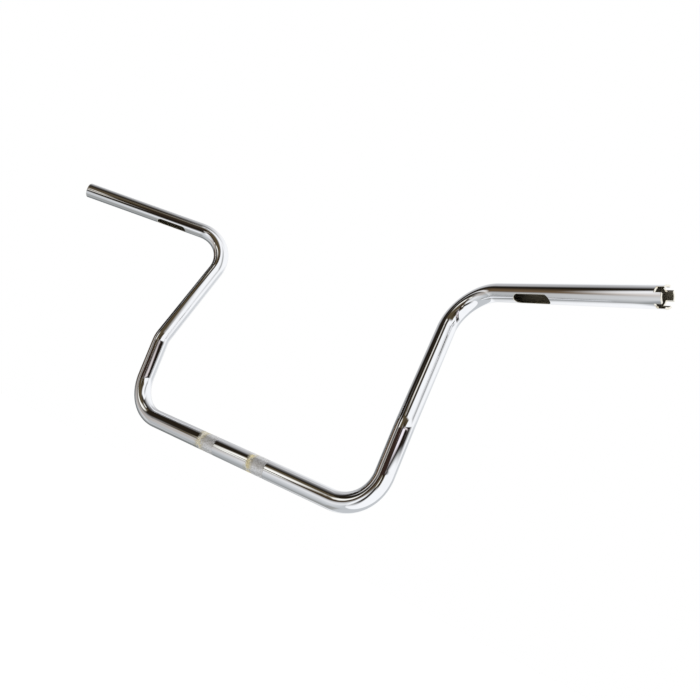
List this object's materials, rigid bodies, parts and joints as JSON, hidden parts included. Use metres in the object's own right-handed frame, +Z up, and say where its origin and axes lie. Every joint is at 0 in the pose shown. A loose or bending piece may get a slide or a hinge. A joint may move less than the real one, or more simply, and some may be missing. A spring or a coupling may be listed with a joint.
{
  "type": "ape hanger handlebar",
  "caption": "One-piece chromed ape hanger handlebar bent from round tube, with knurled clamp bands, wiring slots in the grips and a notched throttle end.",
  "frame": {"origin": "on the axis of the base tube, midway between the two knurled clamp bands", "axes": "+X along the base tube to the rider's right, +Y forwards, away from the rider, +Z up along the risers"},
  "size_m": [0.9276, 0.1508, 0.3464],
  "materials": {
    "chrome_plate": "mirror polished chrome plate over steel"
  },
  "bodies": {
    "root": {"handlebar": "chrome_plate"}
  },
  "joints": []
}
